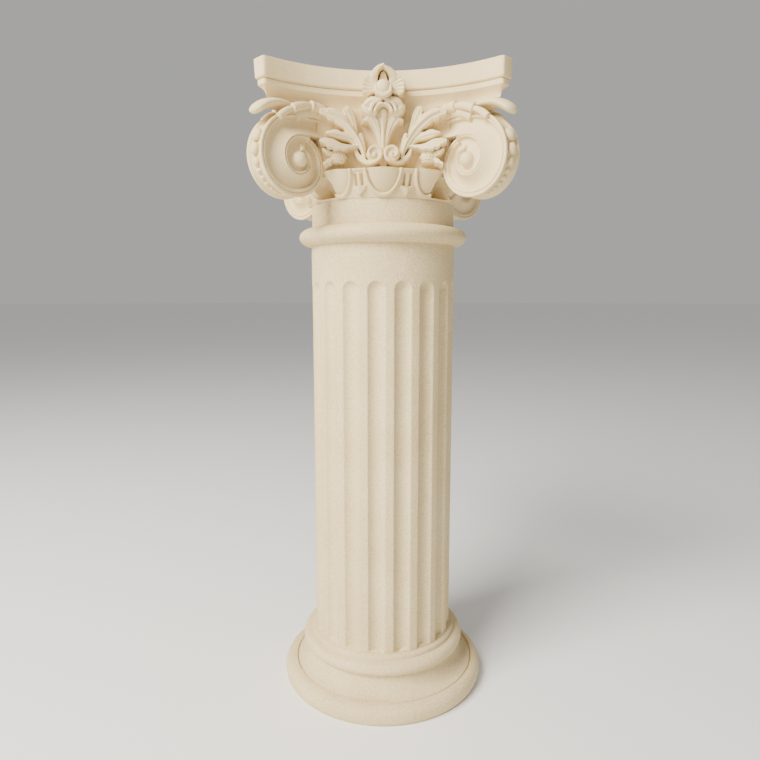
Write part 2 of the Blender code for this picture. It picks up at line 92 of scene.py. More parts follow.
def eased(share):  # the same for a whole grid of shares
    share = numpy.clip(share, 0, 1)
    return share * share * (3 - 2 * share)


def ripple(share):  # a groove's depth over one turn of share, 0 at its ends and 1 at its middle
    return 0.5 - 0.5 * numpy.cos(2 * math.pi * share)


def softMax(a, b, blend):  # the larger of two heights, with a fillet of this size
    share = min(1.0, max(0.0, 0.5 + 0.5 * (a - b) / blend))
    return b + (a - b) * share + blend * share * (1 - share) * 0.5


def quarterTurn(count):
    return Matrix.Rotation(count * math.pi / 2, 3, "Z")


def spinProfile(bm, profile, steps):  # turns (radius, height) points about Z into a closed body
    points = [bm.verts.new((radius, 0, height)) for radius, height in profile]
    lines = [bm.edges.new(pair) for pair in zip(points, points[1:])]
    bmesh.ops.spin(bm, geom=points + lines, cent=(0, 0, 0), axis=(0, 0, 1), angle=2 * math.pi,
                   steps=steps, use_merge=True)
    bmesh.ops.remove_doubles(bm, verts=bm.verts, dist=mergeDistance)


def loftRows(bm, rows):  # a closed body through rings of equally many points
    first = [bm.verts.new(point) for point in rows[0]]
    edges = [bm.edges.new((first[i], first[(i + 1) % len(first)])) for i in range(len(first))]
    ring = first
    for row in rows[1:]:
        made = bmesh.ops.extrude_edge_only(bm, edges=edges)["geom"]
        fresh = {item for item in made if isinstance(item, bmesh.types.BMVert)}
        edges = [item for item in made if isinstance(item, bmesh.types.BMEdge)
                 and item.verts[0] in fresh and item.verts[1] in fresh]
        ring = [next(edge.other_vert(vert) for edge in vert.link_edges if edge.other_vert(vert) in fresh)
                for vert in ring]
        for vert, point in zip(ring, row):
            vert.co = point
    bmesh.ops.contextual_create(bm, geom=first)
    bmesh.ops.contextual_create(bm, geom=ring)


def sweep(bm, stations, sides):  # stations of (centre, half width, half thickness, way across)
    middles = [station[0] for station in stations]
    rows = []
    for i, (centre, wide, thick, across) in enumerate(stations):
        run = (middles[min(i + 1, len(middles) - 1)] - middles[max(i - 1, 0)]).normalized()
        side = (across - run * across.dot(run)).normalized()
        up = run.cross(side)
        angles = [2 * math.pi * j / sides for j in range(sides)]
        rows.append([centre + side * wide * math.cos(angle) + up * thick * math.sin(angle) for angle in angles])
    loftRows(bm, rows)


def closeBehind(bm, front, place):  # a skirt round a raised grid, and the flat back that it leads to
    edges = {edge for vert in front for edge in vert.link_edges if edge.is_boundary}
    skirt = [item for item in bmesh.ops.extrude_edge_only(bm, edges=list(edges))["geom"]
             if isinstance(item, bmesh.types.BMVert)]
    for vert in skirt:
        vert.co = place(vert.co)
    rim = {edge for vert in skirt for edge in vert.link_edges if edge.is_boundary}
    bmesh.ops.contextual_create(bm, geom=list(rim))


def finishPiece(name, bm, material, group, nodes, sharpAngle):
    bmesh.ops.recalc_face_normals(bm, faces=bm.faces)
    mesh = bpy.data.meshes.new(name)
    bm.to_mesh(mesh)
    bm.free()
    mesh.shade_smooth()
    mesh.set_sharp_from_angle(angle=math.radians(sharpAngle))
    mesh.materials.append(material)
    piece = bpy.data.objects.new(name, mesh)
    group.objects.link(piece)
    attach(piece, "root")
    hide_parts(*nodes)
    triangles = sum(len(face.vertices) - 2 for face in mesh.polygons)
    print("made", name, "with", triangles, "triangles")


# Plaster

plasterLook = {
    "light": (0.79, 0.645, 0.375, 1.0),
    "shade": (0.71, 0.565, 0.305, 1.0),
    "patchScale": 9.0,
    "patchDetail": 5.0,
    "patchRoughness": 0.62,
    "patchRange": (0.30, 0.62),
    "grainScale": 430.0,
    "grainDetail": 3.0,
    "grainRange": (0.36, 0.60),
    "grainStrength": 0.6,
    "waveScale": 22.0,
    "waveDetail": 2.0,
    "waveDepth": 0.0011,
    "waveStrength": 0.5,
    "roughness": 0.82,
    "specular": 0.28,
    "shift": (0.37, 0.11, 0.23),
}
# The share of the colour that is left in the grain's pits, as painted shade in the bump's low points, and their depth.
sandyGrain = {"pitShadeShare": 0.80, "depth": 0.0010}
smoothGrain = {"pitShadeShare": 0.94, "depth": 0.0005}


def addNoise(nodes, links, place, scale, detail):
    made = nodes.new("ShaderNodeTexNoise")
    made.inputs["Scale"].default_value = scale
    made.inputs["Detail"].default_value = detail
    links.new(place.outputs["Vector"], made.inputs["Vector"])
    return made


def addRamp(nodes, links, source, span, low, high):
    made = nodes.new("ShaderNodeValToRGB")
    for element, position, colour in zip(made.color_ramp.elements, span, (low, high)):
        element.position = position
        element.color = colour
    links.new(source.outputs["Fac"], made.inputs["Fac"])
    return made


def addBump(nodes, links, source, depth, strength):
    made = nodes.new("ShaderNodeBump")
    made.inputs["Distance"].default_value = depth
    made.inputs["Strength"].default_value = strength
    links.new(source.outputs["Fac"], made.inputs["Height"])
    return made


def makePlaster(name, seed, grainLook):
    look = plasterLook
    material = bpy.data.materials.new(name)
    material.use_nodes = True
    nodes = material.node_tree.nodes
    links = material.node_tree.links
    shader = nodes["Principled BSDF"]
    shader.inputs["Roughness"].default_value = look["roughness"]
    shader.inputs["Specular IOR Level"].default_value = look["specular"]
    place = nodes.new("ShaderNodeTexCoord")
    mapping = nodes.new("ShaderNodeMapping")
    mapping.inputs["Location"].default_value = [seed * value for value in look["shift"]]
    links.new(place.outputs["Object"], mapping.inputs["Vector"])
    # Broad, faint warm and cool patches.
    patches = addNoise(nodes, links, mapping, look["patchScale"], look["patchDetail"])
    patches.inputs["Roughness"].default_value = look["patchRoughness"]
    tone = addRamp(nodes, links, patches, look["patchRange"], look["shade"], look["light"])
    # The cast skin's fine grain, whose pits are painted a little darker: painted shade in the bump's low points.
    grain = addNoise(nodes, links, mapping, look["grainScale"], look["grainDetail"])
    pitShadeShare = grainLook["pitShadeShare"]
    # Painted shade: the grain's low points, where its bump sinks, get this darker colour.
    pitShadeColour = (pitShadeShare, pitShadeShare * 0.975, pitShadeShare * 0.95, 1.0)
    pitShading = addRamp(nodes, links, grain, look["grainRange"], pitShadeColour, (1.0, 1.0, 1.0, 1.0))
    colour = nodes.new("ShaderNodeMixRGB")
    colour.blend_type = "MULTIPLY"
    colour.inputs["Fac"].default_value = 1.0
    links.new(tone.outputs["Color"], colour.inputs["Color1"])
    links.new(pitShading.outputs["Color"], colour.inputs["Color2"])
    links.new(colour.outputs["Color"], shader.inputs["Base Color"])
    # Slow unevenness from hand finishing, with the grain on it.
    wave = addNoise(nodes, links, mapping, look["waveScale"], look["waveDetail"])
    broad = addBump(nodes, links, wave, look["waveDepth"], look["waveStrength"])
    fine = addBump(nodes, links, grain, grainLook["depth"], look["grainStrength"])
    links.new(broad.outputs["Normal"], fine.inputs["Normal"])
    links.new(fine.outputs["Normal"], shader.inputs["Normal"])
    return material


basePlaster = makePlaster("basePlaster", 1, sandyGrain)
shaftPlaster = makePlaster("shaftPlaster", 2, sandyGrain)
capitalPlaster = makePlaster("capitalPlaster", 3, smoothGrain)
print("plaster ready")


# Base

baseSizes = {
    "foot": 0.1758,
    "belly": 0.1845,
    "shoulder": 0.1675,
    "throat": 0.1385,
    "upperRoll": 0.1490,
    "ledge": 0.1340,
    "ledgeBevel": 0.0015,
    "ledgeSeat": 0.0006,
    "lowerRollTop": 0.0340,
    "hollowTop": 0.0650,
    "upperRollTop": 0.0885,
    # The fine line: where it may lie, its section, and the jog, in degrees to the front's right.
    "lineLow": 0.0200,
    "lineHigh": 0.0370,
    "lineReach": 0.0100,
    "lineWidth": 0.0010,
    "lineDepth": 0.0045,
    "lineShift": 0.0060,
    "lineJog": 5.0,
    "jogHalf": 0.6,
    "lineReturn": (170.0, 175.0),
    "steps": 360,
}


def carveLine(bm):  # the fine line round the base, with a small jog to the right of the front
    size = baseSizes
    for vert in bm.verts:
        radius = math.hypot(vert.co.x, vert.co.y)
        outward = radius - size["shoulder"]
        if not size["lineLow"] <= vert.co.z <= size["lineHigh"] or abs(outward) > size["lineReach"]:
            continue
        turn = math.degrees(math.atan2(vert.co.x, -vert.co.y))
        jogged = smoothStep(size["lineJog"] - size["jogHalf"], size["lineJog"] + size["jogHalf"], turn)
        jogged *= 1 - smoothStep(*size["lineReturn"], turn)
        away = outward + size["lineShift"] * (1 - jogged)
        vert.co.z -= size["lineDepth"] * math.exp(-(away / size["lineWidth"]) ** 2)


def makeBase():
    size = baseSizes
    top = baseHigh.z
    ledge = size["ledge"]
    bevel = size["ledgeBevel"]
    shoulder = size["shoulder"]
    throat = size["throat"]
    rollMiddle = (size["hollowTop"] + size["upperRollTop"]) / 2
    rollHalf = (size["upperRollTop"] - size["hollowTop"]) / 2
    hollowHeight = size["hollowTop"] - size["lowerRollTop"]
    belly = size["lowerRollTop"] / 2
    profile = [(0.0, top), (ledge - bevel, top), (ledge, top - bevel)]
    profile += [(ledge, size["upperRollTop"] + size["ledgeSeat"])]
    profile += arcPoints((throat, rollMiddle), (size["upperRoll"] - throat, rollHalf), 76, -84, 22)
    profile += arcPoints((shoulder, size["hollowTop"]), (shoulder - throat, hollowHeight), 183, 269, 80)
    profile += arcPoints((shoulder, belly), (size["belly"] - shoulder, belly), 90, 0, 34)
    profile += arcPoints((size["foot"], belly), (size["belly"] - size["foot"], belly), -6, -90, 12)
    profile += [(0.0, 0.0)]
    bm = bmesh.new()
    spinProfile(bm, profile, size["steps"])
    carveLine(bm)
    finishPiece("baseMoulding", bm, basePlaster, addModule("base"), ["base"], 50)


makeBase()


# Shaft

shaftSizes = {
    "radius": 0.1255,
    "neck": 0.1238,
    "flutes": 18,
    "fluteWidth": 0.0290,
    "fluteDepth": 0.0078,
    "fluteTop": 0.7327,
    "firstFlute": -5.0,
    "arris": 0.0011,
    "ringFoot": 0.7937,
    "ringTop": 0.8237,
    "ringReach": 0.1464,
    "ringCrease": 0.0004,
    "columnsPerFlute": 36,
    # Rows of points: close together in the filler at the foot and round the flutes' heads.
    "footRows": 13,
    "footPitch": 0.0008,
    "shankRows": 26,
    "headRows": 24,
    "headPitch": 0.0009,
    "headStart": 0.0040,
    "collarRows": 6,
    "neckRows": 4,
    # The filler in the joint.
    "smearHeight": 0.0055,
    "smearScale": 9.0,
    "smearSeed": 4.7,
    "smearFill": 0.8,
}


def evenRows(start, end, count):  # heights after start, up to end
    return [start + (end - start) * i / count for i in range(1, count + 1)]


def fluteHollow(angle, height):  # how deep the flutes are here, with soft arrises
    size = shaftSizes
    pitch = 2 * math.pi / size["flutes"]
    turn = (angle - math.radians(-90 + size["firstFlute"])) / pitch
    across = (turn - round(turn)) * pitch * size["radius"]
    half = size["fluteWidth"] / 2
    full = size["fluteDepth"]
    away = math.hypot(across, max(0.0, height - (size["fluteTop"] - half)))
    curve = (half ** 2 + full ** 2) / (2 * full)
    depth = math.sqrt(curve ** 2 - away ** 2) - (curve - full) if away < curve else -1.0
    return softMax(depth, 0.0, size["arris"])


def fillerShare(angle, up):  # how much of a flute's depth the filler at its foot takes up
    size = shaftSizes
    scale = size["smearScale"]
    rag = noise.noise(Vector((math.cos(angle) * scale, math.sin(angle) * scale, size["smearSeed"])))
    smear = size["smearHeight"] * (0.45 + rag)
    return size["smearFill"] * (1 - smoothStep(smear * 0.4, smear + 0.001, up))


def makeShaft():
    size = shaftSizes
    foot = shaftLow.z
    top = shaftHigh.z
    crease = size["ringCrease"]
    ringMiddle = (size["ringFoot"] + size["ringTop"]) / 2
    ringHalf = (size["ringTop"] - size["ringFoot"]) / 2
    headFoot = size["fluteTop"] - size["fluteWidth"] / 2 - size["headStart"]
    heights = [foot] + evenRows(foot, foot + size["footPitch"] * size["footRows"], size["footRows"])
    heights += evenRows(heights[-1], headFoot, size["shankRows"])
    heights += evenRows(headFoot, headFoot + size["headPitch"] * size["headRows"], size["headRows"])
    heights += evenRows(heights[-1], size["ringFoot"] - crease, size["collarRows"])
    profile = [(0.0, top), (size["neck"], top)]
    profile += [(size["neck"], height) for height in evenRows(top, size["ringTop"] + crease, size["neckRows"])]
    profile += arcPoints((size["neck"], ringMiddle), (size["ringReach"] - size["neck"], ringHalf), 86, 0, 16)
    profile += arcPoints((size["radius"], ringMiddle), (size["ringReach"] - size["radius"], ringHalf), -6, -86, 15)
    profile += [(size["radius"], height) for height in reversed(heights)]
    profile += [(0.0, foot)]
    bm = bmesh.new()
    spinProfile(bm, profile, size["flutes"] * size["columnsPerFlute"])
    for vert in bm.verts:
        radius = math.hypot(vert.co.x, vert.co.y)
        if radius < size["neck"] * 0.9 or vert.co.z > size["fluteTop"] + 0.01:
            continue
        angle = math.atan2(vert.co.y, vert.co.x)
        depth = fluteHollow(angle, vert.co.z) * (1 - fillerShare(angle, vert.co.z - foot))
        scale = (size["radius"] - depth) / radius
        vert.co.x *= scale
        vert.co.y *= scale
    finishPiece("flutedShaft", bm, shaftPlaster, addModule("shaft"), ["shaft"], 50)


makeShaft()


# Capital: the slab

capitalGroup = addModule("capital")

slabSizes = {
    "ledge": 0.9035,
    "wallTop": 0.9973,
    "coveTop": 1.0120,
    "filletTop": 1.0200,
    "slabHalf": 0.1901,
    "cornerCut": 0.0267,
    "slabMiddle": 0.1234,
    "filletInset": 0.0045,
    "recess": 0.0010,
    "cornerRound": 0.0040,
    "batter": 0.0012,
    "scrollHalf": 0.0185,
    "coreInset": 0.0180,
    "coreShort": 0.0040,
    # The cove: share of its height, and share of its depth that is left there.
    "cove": ((0.12, 0.98), (0.28, 0.92), (0.45, 0.80), (0.62, 0.62), (0.78, 0.40), (0.90, 0.19), (1.0, 0.02)),
    "stepsPerSide": 48,
}


def slabGeometry():  # the hollow side is an arc about a centre in front of the face
    size = slabSizes
    near = size["slabHalf"] - size["cornerCut"] / math.sqrt(2)
    sag = size["slabHalf"] - size["slabMiddle"]
    radius = (near ** 2 + sag ** 2) / (2 * sag)
    centre = size["slabMiddle"] + radius
    return near, radius, centre, math.hypot(near, centre - near) - radius


cornerNear, sideRadius, sideCentre, coveInset = slabGeometry()
wallRadius = sideRadius + coveInset
flankGap = math.sqrt(2) * slabSizes["scrollHalf"]
flankMiddle = sideCentre - flankGap
wallCorner = (flankMiddle - math.sqrt(2 * wallRadius ** 2 - flankMiddle ** 2)) / 2


def wallDistance(x):  # how far in front of the axis the wall, or past it a scroll's flank, stands
    x = abs(x)
    if x <= wallCorner:
        return sideCentre - math.sqrt(wallRadius ** 2 - x ** 2)
    return x + flankGap


def onWall(x, out, z):  # a point of the front face, from mm across, out from the wall and up
    return Vector((x * mm, -(wallDistance(x * mm) + out * mm), z * mm))


def hollowSide(inset, reach, height):  # one side's points, its ends rounded off towards the cut corners
    size = slabSizes
    steps = size["stepsPerSide"]
    radius = sideRadius + inset
    rounding = size["cornerRound"]

    def onArc(x):
        return Vector((x, -(sideCentre - math.sqrt(radius ** 2 - x ** 2)), height))

    main = [onArc((reach - rounding) * (2 * i / steps - 1)) for i in range(steps + 1)]
    corner = onArc(reach)
    cut = Vector((-corner.y, -corner.x, height)) - corner  # towards the next side's first point
    after = corner + cut * min(0.45, rounding / max(cut.length, 0.0001))
    right = []
    for share in (0.25, 0.5, 0.75, 1.0):
        right.append(main[-1] * (1 - share) ** 2 + corner * 2 * share * (1 - share) + after * share ** 2)
    left = [Vector((-point.x, point.y, point.z)) for point in reversed(right)]
    return left + main + right


def hollowSquare(bm, levels):  # a closed body through outlines of (inset, reach, height)
    rows = []
    for level in levels:
        side = hollowSide(*level)
        rows.append([quarterTurn(count) @ point for count in range(4) for point in side])
    loftRows(bm, rows)


def makeCapitalSlab():
    size = slabSizes
    fillet = size["filletInset"]
    recess = fillet + size["recess"]
    wallTop = size["wallTop"]
    coveTop = size["coveTop"]
    filletTop = size["filletTop"]
    batter = size["batter"]
    top = capitalHigh.z
    levels = [(coveInset, cornerNear - 0.0004, wallTop)]
    for share, left in size["cove"]:
        levels.append((fillet + (coveInset - fillet) * left, cornerNear, wallTop + (coveTop - wallTop) * share))
    # The fillet, the crease over it and the slab's edge with its small bevels.
    levels += [(fillet - 0.0004, cornerNear, coveTop + 0.0004),
               (fillet - 0.0006, cornerNear, filletTop - 0.0010),
               (fillet, cornerNear, filletTop - 0.0002),
               (recess, cornerNear, filletTop + 0.0002),
               (recess, cornerNear, filletTop + 0.0010),
               (batter + 0.0010, cornerNear, filletTop + 0.0018),
               (batter, cornerNear, filletTop + 0.0032),
               (0.0002, cornerNear, top - 0.0022),
               (0.0008, cornerNear - 0.0004, top - 0.0007),
               (0.0024, cornerNear - 0.0012, top)]
    bm = bmesh.new()
    hollowSquare(bm, levels)
    # The core behind the carved walls.
    core = (coveInset + size["coreInset"], wallCorner - size["coreShort"])
    hollowSquare(bm, [(*core, size["ledge"] - 0.004), (*core, wallTop + 0.002)])
    finishPiece("capitalSlab", bm, capitalPlaster, capitalGroup, ["capital"], 28)


makeCapitalSlab()


# Capital: the band of eggs and darts

eggLook = {
    "bandFoot": 0.1240,
    "bandTop": 0.1423,
    "columnsPerSide": 264,
    "rows": 60,
    "edge": 0.0006,
    # The egg and its border, half ellipses that hang from the ledge.
    "innerHalf": 0.0245,
    "outerHalf": 0.0305,
    "innerDrop": 0.0348,
    "outerDrop": 0.0443,
    "eggRise": 0.0092,
    "rimRise": 0.0056,
    "rimShare": 0.86,
    "groove": 0.0014,
    "sideTurn": 32.0,
    # The dart: its slots, its head with a ridge and barbs, and its stem, by height over the foot.
    "dartTurn": 16.2,
    "slotHalf": 0.0013,
    "slotSoft": 0.0011,
    "slotAway": 0.0052,
    "slotDepth": 0.0060,
    "slotFoot": (0.0175, 0.0190),
    "slotTop": (0.0345, 0.0360),
    "headRise": 0.0066,
    "headFall": 0.22,
    "headHalf": 0.0118,
    "headTip": 0.0020,
    "headTipSlope": 0.95,
    "headTop": 0.0155,
    "headTopSlope": 0.22,
    "stemRise": 0.0016,
    "stemHalf": (0.0016, 0.0030),
    "stemFoot": (0.0150, 0.0160),
    "stemTop": (0.0350, 0.0365),
    # The ledge along the top, and the arched hollow under each scroll.
    "ledgeRise": 0.0022,
    "ledgeDrop": (0.0050, 0.0030),
    "archTurn": 43.6,
    "archHalf": 0.0212,
    "archFoot": 0.0035,
    "archTop": 0.0305,
    "archSquareness": 0.75,
    "archDepth": 0.0270,
    "archRim": 0.0012,
    "archRimWidth": 0.0020,
}


def eggRelief(across, height):  # egg, its raised border and the ground, by distance from the egg's middle
    look = eggLook
    fall = slabSizes["ledge"] + look["edge"] - height
    inner = math.hypot(across / look["innerHalf"], fall / look["innerDrop"])
    outer = math.hypot(across / look["outerHalf"], fall / look["outerDrop"])
    if inner <= 1:
        return look["eggRise"] * math.sqrt(1 - inner ** 2) - look["groove"]
    if outer >= 1:
        return 0.0
    # The border is a round bead between the two half ellipses, with a groove along the egg.
    share = (1 - outer) / max(0.0001, (1 - outer) + (inner - 1)) / look["rimShare"]
    if share > 1:
        return -look["groove"]
    return look["rimRise"] * math.sqrt(max(0.0, 1 - (2 * share - 1) ** 2))


def dartRelief(across, height):  # a stem between two slots, on a head with a ridge down its middle
    look = eggLook
    away = abs(across)
    up = height - capitalLow.z
    beside = abs(away - look["slotAway"])
    slot = -look["slotDepth"] * (1 - smoothStep(look["slotHalf"], look["slotHalf"] + look["slotSoft"], beside))
    slot *= smoothStep(*look["slotFoot"], up) * (1 - smoothStep(*look["slotTop"], up))
    if slot < -0.0002:
        return slot
    low = look["headTip"] + away * look["headTipSlope"]
    high = look["headTop"] + away * look["headTopSlope"]
    inside = min(up - low, high - up, look["headHalf"] - away)
    head = (look["headRise"] - look["headFall"] * away) * smoothStep(-0.0003, 0.0010, inside)
    stem = look["stemRise"] * (1 - smoothStep(*look["stemHalf"], away))
    stem *= smoothStep(*look["stemFoot"], up) * (1 - smoothStep(*look["stemTop"], up))
    return max(head, stem)


def carveArch(relief, turn, height):  # the arched hollow under a scroll, with a faint rim
    look = eggLook
    across = math.radians(abs(turn) - look["archTurn"]) * look["bandTop"]
    up = height - capitalLow.z - look["archFoot"]
    spring = look["archTop"] - look["archHalf"] * look["archSquareness"]
    away = math.hypot(across / look["archHalf"], max(0.0, up - spring) / (look["archTop"] - spring))
    if up <= 0 or away >= 1.25:
        return relief
    rim = 1 - smoothStep(0.0, look["archRimWidth"], abs(1 - away) * look["archHalf"] * 0.8)
    cut = (1 - smoothStep(0.88, 1.0, away)) * smoothStep(0.0, 0.0018, up)
    return (relief + look["archRim"] * rim) * (1 - cut) - look["archDepth"] * cut


def bandRelief(turn, height):  # turn in degrees from the middle of a face
    look = eggLook
    relief = 0.0
    for centre in (-look["sideTurn"], 0.0, look["sideTurn"]):
        part = eggRelief(math.radians(turn - centre) * look["bandTop"], height)
        relief = part if part < 0 else max(relief, part)
    for centre in (-look["dartTurn"], look["dartTurn"]):
        part = dartRelief(math.radians(turn - centre) * look["bandTop"], height)
        if part < 0 and relief < 0.0005:
            relief = part
        elif relief >= 0:
            relief = max(relief, part)
    foot, top = (slabSizes["ledge"] - drop for drop in look["ledgeDrop"])
    lip = look["ledgeRise"] * smoothStep(foot, top, height)
    if lip > 0:
        relief = max(relief, lip)
    return carveArch(relief, turn, height)


def makeEggBand():
    look = eggLook
    rows = look["rows"]
    edge = look["edge"]
    foot = capitalLow.z
    top = slabSizes["ledge"]
    bandFoot = look["bandFoot"]
    bandTop = look["bandTop"]
    profile = [(0.0, top), (bandTop - 0.006, top), (bandTop - 0.001, top)]
    for i in range(rows + 1):
        share = i / rows
        profile.append((bandTop + (bandFoot - bandTop) * share, top - edge + (foot + 2 * edge - top) * share))
    profile += [(bandFoot - 0.001, foot), (0.0, foot)]
    bm = bmesh.new()
    spinProfile(bm, profile, 4 * look["columnsPerSide"])
    for vert in bm.verts:
        radius = math.hypot(vert.co.x, vert.co.y)
        if radius < bandFoot - 0.0005 or not foot + edge / 2 <= vert.co.z <= top - edge / 2:
            continue
        turn = math.degrees(math.atan2(vert.co.x, -vert.co.y))
        scale = 1 + bandRelief(turn - 90 * round(turn / 90), vert.co.z) / radius
        vert.co.x *= scale
        vert.co.y *= scale
    finishPiece("eggAndDartBand", bm, capitalPlaster, capitalGroup, ["capital"], 60)


makeEggBand()


# Capital: the four corner scrolls, made on the diagonal along +X

scrollLook = {
    "eyeDistance": 0.2000,
    "eyeHeight": 0.9120,
    # Distance of the lip's edge from the eye at every quarter turn, from the top outward.
    "quarterRadii": (0.0700, 0.0668, 0.0545, 0.0492, 0.0380, 0.0300, 0.0245, 0.0200, 0.0160, 0.0125),
    "bluntStart": 333.0,
    "end": 712.0,
    "straight": (0.088, 0.060, 0.035, 0.015),
    "lipWidth": 0.0088,
    "lipWidthInner": 0.0058,
    "lipSwell": 0.28,
    "floorDepth": 0.0056,
    "floorSteps": 12,
    "innerRise": 0.0062,
    "lastRise": 0.0028,
    "eyeRise": 0.0148,
    "eyeBall": 0.0116,
    "eyeSeat": 0.0042,
    "rimRecess": 0.0042,
    "rimEdge": 0.0062,
    "stepsPerTurn": 96,
    # Down the sunk rim: degrees from the top, half length and half width.
    "husks": ((64, 0.0105, 0.0100), (82, 0.0092, 0.0082), (98, 0.0066, 0.0060)),
    "beads": ((110, 0.0043, 0.0047), (120, 0.0041, 0.0044), (130, 0.0038, 0.0041),
              (139, 0.0036, 0.0038), (148, 0.0033, 0.0035), (156, 0.0030, 0.0032)),
    "huskRise": 0.62,
    "beadRise": 0.9,
}
scrollHalf = slabSizes["scrollHalf"]
edgeSteps = 45  # per quarter turn, two degrees each
lipEdge = [float(value[0]) for value in smoothPath([(radius,) for radius in scrollLook["quarterRadii"]], edgeSteps)]


def scrollEdge(turn):  # distance of the lip's outer edge from the eye, turn counted from the top, outward
    place = min(max(turn, 0.0) / (math.pi / 2 / edgeSteps), len(lipEdge) - 1.001)
    low = int(place)
    return lipEdge[low] + (lipEdge[low + 1] - lipEdge[low]) * (place - low)


def scrollRise(turn):  # height of the lip over the middle plane: it steps out where the second turn starts
    look = scrollLook
    first = smoothStep(math.radians(look["bluntStart"] - 8), math.radians(look["bluntStart"]), turn)
    second = smoothStep(math.radians(440), math.radians(700), turn)
    return scrollHalf + look["innerRise"] * first + look["lastRise"] * second


def scrollSection(turn):  # (distance from the eye, height over the middle plane) from the rim in
    look = scrollLook
    edge = scrollEdge(turn)
    rise = scrollRise(turn)
    inner = scrollEdge(turn + 2 * math.pi)
    innerRise = scrollRise(turn + 2 * math.pi) - 0.0012
    if turn + 2 * math.pi > math.radians(look["end"]):
        inner = look["eyeBall"] * 0.80
        innerRise = scrollHalf + look["eyeSeat"]
    lip = look["lipWidth"] if turn < math.radians(look["bluntStart"] - 1) else look["lipWidthInner"]
    lip *= 1 + look["lipSwell"] * math.exp(-((turn - math.pi) / 0.9) ** 2)
    lip = min(lip, (edge - inner) * 0.55)
    # The sunk rim and its raised edge.
    sunk = edge - look["rimRecess"]
    step = rise - look["rimEdge"]
    section = [(sunk, 0.0), (sunk, step - 0.0016), (edge - look["rimRecess"] * 0.55, step),
               (edge - 0.0006, step + 0.0008), (edge, step + 0.0020), (edge, rise - 0.0012),
               (edge - 0.0005, rise - 0.0004), (edge - 0.0014, rise)]
    # The lip with the groove along it.
    groove = edge - lip * 0.52
    section += [(groove + 0.0012, rise), (groove + 0.0004, rise - 0.0017), (groove - 0.0006, rise - 0.0017),
                (groove - 0.0013, rise - 0.0001), (edge - lip + 0.0010, rise), (edge - lip + 0.0002, rise - 0.0008)]
    # The hollow floor, which climbs towards the next winding.
    floor = rise - look["floorDepth"]
    start = edge - lip - 0.0008
    for i in range(look["floorSteps"] + 1):
        share = i / look["floorSteps"]
        height = floor + (innerRise - floor) * share ** 1.7 - 0.0012 * math.sin(math.pi * share)
        section.append((start + (inner - start) * share, height))
    section.append((inner - 0.0010, 0.0))
    return section


def addWinding(bm, start, end, straight):  # one winding of the scroll's two faces, closed at both ends
    look = scrollLook
    steps = max(4, int(look["stepsPerTurn"] * (end - start) / (2 * math.pi)))
    stations = [(start, -shift) for shift in straight]
    stations += [(start + (end - start) * i / steps, 0.0) for i in range(steps + 1)]
    rows = []
    for turn, shift in stations:
        section = scrollSection(turn)
        whole = section + [(radius, -rise) for radius, rise in reversed(section[1:-1])]
        rows.append([Vector((look["eyeDistance"] + shift + radius * math.sin(turn), -aside,
                             look["eyeHeight"] + radius * math.cos(turn))) for radius, aside in whole])
    loftRows(bm, rows)


def addBall(bm, centre, radii, columns, rows):
    matrix = Matrix.Translation(centre) @ Matrix.Diagonal((*radii, 1.0))
    return bmesh.ops.create_uvsphere(bm, u_segments=columns, v_segments=rows, radius=1.0, matrix=matrix)["verts"]


def addRimBeads(bm):  # husks, then beads, down the middle of the sunk rim
    look = scrollLook
    for beads, rise in ((look["husks"], look["huskRise"]), (look["beads"], look["beadRise"])):
        for degrees, reach, wide in beads:
            turn = math.radians(degrees)
            radius = scrollEdge(turn) - look["rimRecess"] + reach * 0.26
            verts = addBall(bm, Vector((0, 0, 0)), (reach, wide, reach * rise), 16, 10)
            bmesh.ops.rotate(bm, verts=verts, cent=(0, 0, 0), matrix=Matrix.Rotation(turn, 3, "Y"))
            bmesh.ops.translate(bm, verts=verts, vec=(look["eyeDistance"] + radius * math.sin(turn), 0,
                                                      look["eyeHeight"] + radius * math.cos(turn)))


def onFourCorners(bm):  # from the diagonal along +X to all four corners
    source = bm.verts[:] + bm.edges[:] + bm.faces[:]
    bmesh.ops.rotate(bm, verts=bm.verts, cent=(0, 0, 0), matrix=Matrix.Rotation(-math.pi / 4, 3, "Z"))
    for side in (1, 2, 3):
        copied = bmesh.ops.duplicate(bm, geom=source)["geom"]
        points = [item for item in copied if isinstance(item, bmesh.types.BMVert)]
        bmesh.ops.rotate(bm, verts=points, cent=(0, 0, 0), matrix=quarterTurn(side))


def makeScrolls():
    look = scrollLook
    bm = bmesh.new()
    blunt = math.radians(look["bluntStart"])
    addWinding(bm, 0.0, blunt + math.radians(6), look["straight"])
    addWinding(bm, blunt, math.radians(look["end"]), ())
    middle = scrollHalf + look["eyeRise"] - look["eyeBall"]
    for aside in (middle, -middle):
        eye = Vector((look["eyeDistance"], aside, look["eyeHeight"]))
        addBall(bm, eye, (look["eyeBall"],) * 3, 40, 28)
    addRimBeads(bm)
    onFourCorners(bm)
    finishPiece("cornerScrolls", bm, capitalPlaster, capitalGroup, ["capital"], 50)


makeScrolls()


# Capital: the carving on the wall, raised from a grid. Places are in mm: across, height over
# the floor, out from the wall. Only the right half is given, the left one mirrors it.

